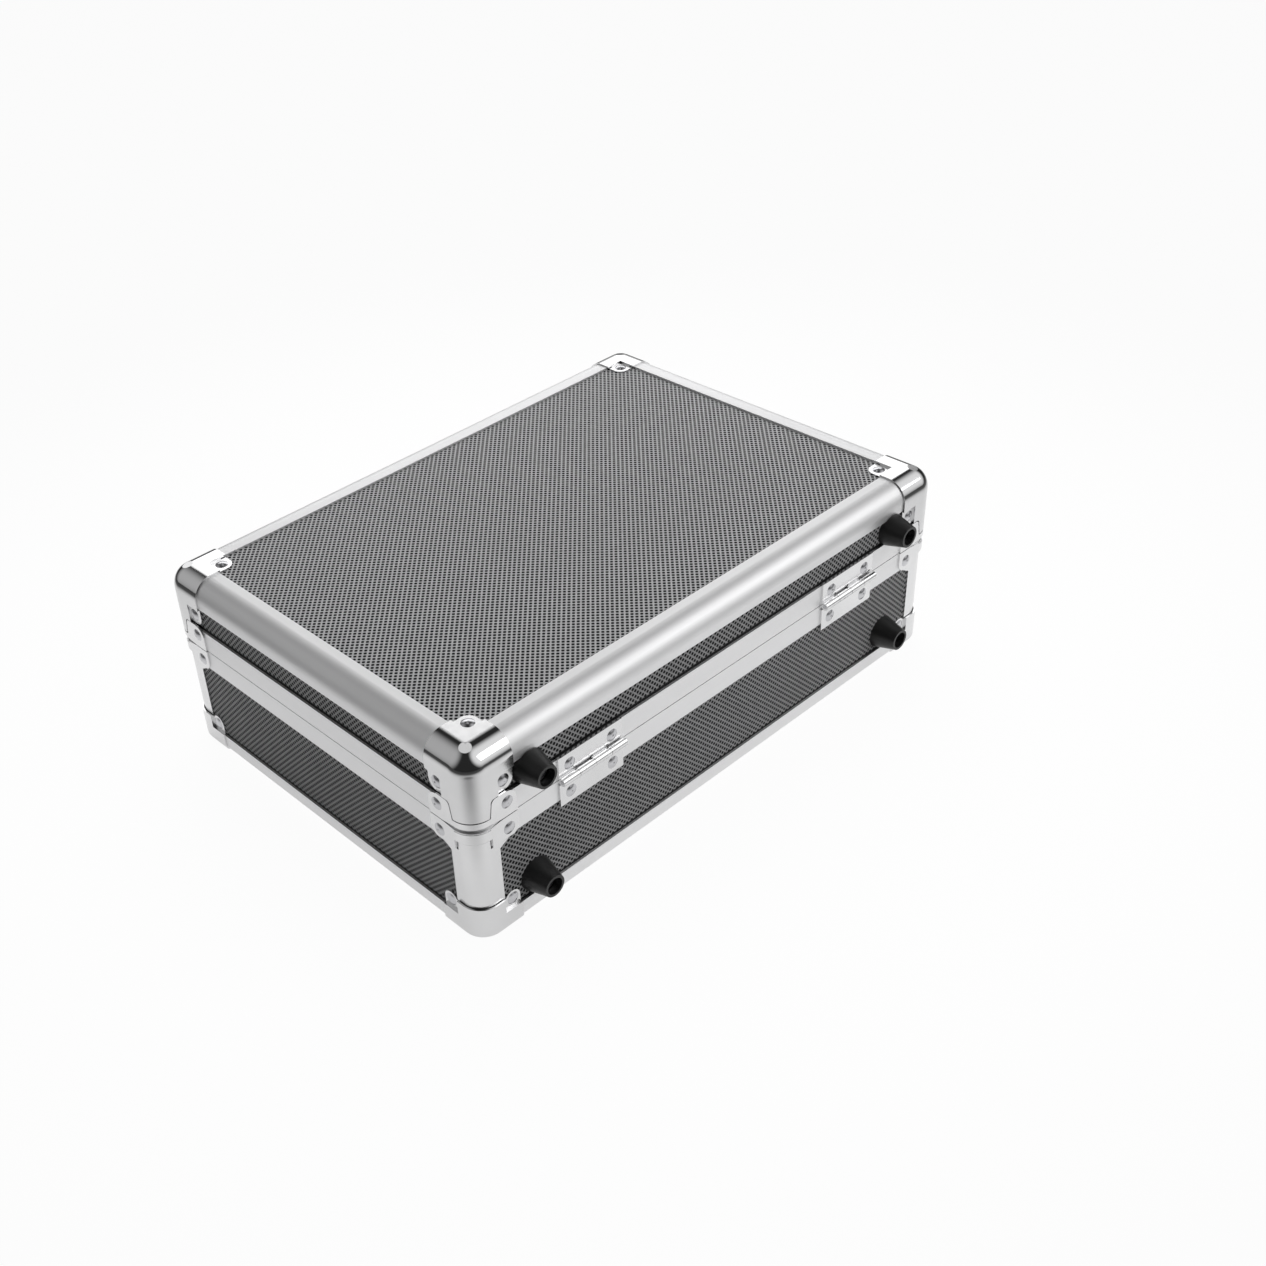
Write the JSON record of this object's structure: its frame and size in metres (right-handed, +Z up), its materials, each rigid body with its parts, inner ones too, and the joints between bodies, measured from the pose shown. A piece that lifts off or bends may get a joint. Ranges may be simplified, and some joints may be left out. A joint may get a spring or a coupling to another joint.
{
  "type": "tool case",
  "caption": "Rectangular hard case with textured panels in rounded metal profiles, riveted stamped corners, a hinged lid, draw latches, a swinging handle and rubber feet.",
  "frame": {"origin": "centre of the underside of the bounding box, level with the four bottom corners it stands on", "axes": "+X along the length, to the right seen from the latches; -Y is the front with latches and handle, +Y the back with hinges and feet; +Z up from the base to the lid"},
  "size_m": [0.322, 0.25, 0.104],
  "materials": {
    "textured_sheet": "satin, fine raised dashes in staggered rows",
    "profile": "satin anodised",
    "rivet": "plated, half bright",
    "plain_steel": "plated",
    "foot_rubber": "satin moulded",
    "lining": "short pile over foam",
    "handle_plastic": "satin",
    "bright_corner": "nickel plated, polished on the rounded edge",
    "plated_steel": "nickel plated, half bright"
  },
  "bodies": {
    "base": {"base_floor": "textured_sheet", "base_panel_front": "textured_sheet", "base_panel_back": "textured_sheet", "base_panel_left": "textured_sheet", "base_panel_right": "textured_sheet", "base_edge": "profile", "base_rim": "profile", "base_post_front_left": "plated_steel", "base_post_front_right": "plated_steel", "base_post_back_left": "plated_steel", "base_post_back_right": "plated_steel", "base_corners": "plated_steel", "base_rivets": "rivet", "base_foot_left": "foot_rubber", "base_foot_right": "foot_rubber", "base_foot_screws": "plain_steel", "hinge_lower_left": "plated_steel", "hinge_lower_right": "plated_steel", "hinge_pins": "plain_steel", "latch_plate_left": "plated_steel", "latch_plate_right": "plated_steel", "latch_pivot_pins": "plain_steel", "handle_bracket_left": "plated_steel", "handle_bracket_right": "plated_steel", "handle_pins": "plain_steel", "base_lining": "lining"},
    "lid": {"lid_top": "textured_sheet", "lid_panel_front": "textured_sheet", "lid_panel_back": "textured_sheet", "lid_panel_left": "textured_sheet", "lid_panel_right": "textured_sheet", "lid_edge_front": "profile", "lid_edge_back": "profile", "lid_edge_left": "profile", "lid_edge_right": "profile", "lid_corner_front_left": "bright_corner", "lid_corner_front_right": "bright_corner", "lid_corner_back_left": "bright_corner", "lid_corner_back_right": "bright_corner", "lid_rim": "profile", "lid_rim_corners": "plated_steel", "lid_rivets": "rivet", "lid_foot_left": "foot_rubber", "lid_foot_right": "foot_rubber", "lid_foot_screws": "plain_steel", "hinge_upper_left": "plated_steel", "hinge_upper_right": "plated_steel", "latch_keeper_left": "plated_steel", "latch_keeper_right": "plated_steel", "lid_lining": "lining"},
    "handle": {"handle": "handle_plastic"},
    "lever_left": {"latch_lever_left": "plated_steel", "hook_pin_left": "plain_steel"},
    "hook_left": {"latch_hook_left": "plated_steel"},
    "lock_left": {"lock_plug_left": "plated_steel"},
    "lever_right": {"latch_lever_right": "plated_steel", "hook_pin_right": "plain_steel"},
    "hook_right": {"latch_hook_right": "plated_steel"},
    "lock_right": {"lock_plug_right": "plated_steel"}
  },
  "joints": [
    {"name": "lid_hinge", "type": "hinge", "parent": "base", "child": "lid", "pos_m": [0, 0.1162, 0.064], "axis": [-1, 0, 0], "range_deg": [0, 100]},
    {"name": "handle_pivot", "type": "hinge", "parent": "base", "child": "handle", "pos_m": [0, -0.1164, 0.044], "axis": [-1, 0, 0], "range_deg": [0, 90]},
    {"name": "latch_left", "type": "hinge", "parent": "base", "child": "lever_left", "pos_m": [-0.092, -0.1134, 0.057], "axis": [-1, 0, 0], "range_deg": [-15, 95]},
    {"name": "hook_left_pin", "type": "hinge", "parent": "lever_left", "child": "hook_left", "pos_m": [-0.092, -0.11547, 0.04927], "axis": [-1, 0, 0], "range_deg": [-100, 20]},
    {"name": "lock_left_turn", "type": "hinge", "parent": "lever_left", "child": "lock_left", "pos_m": [-0.092, -0.11806, 0.03961], "axis": [0, -0.9659, 0.2588], "range_deg": [0, 90]},
    {"name": "latch_right", "type": "hinge", "parent": "base", "child": "lever_right", "pos_m": [0.092, -0.1134, 0.057], "axis": [-1, 0, 0], "range_deg": [-15, 95]},
    {"name": "hook_right_pin", "type": "hinge", "parent": "lever_right", "child": "hook_right", "pos_m": [0.092, -0.11547, 0.04927], "axis": [-1, 0, 0], "range_deg": [-100, 20]},
    {"name": "lock_right_turn", "type": "hinge", "parent": "lever_right", "child": "lock_right", "pos_m": [0.092, -0.11806, 0.03961], "axis": [0, -0.9659, 0.2588], "range_deg": [0, 90]}
  ],
  "couplings": [
    {"joint": "hook_left_pin", "follows": "latch_left", "ratio": -1},
    {"joint": "hook_right_pin", "follows": "latch_right", "ratio": -1}
  ]
}
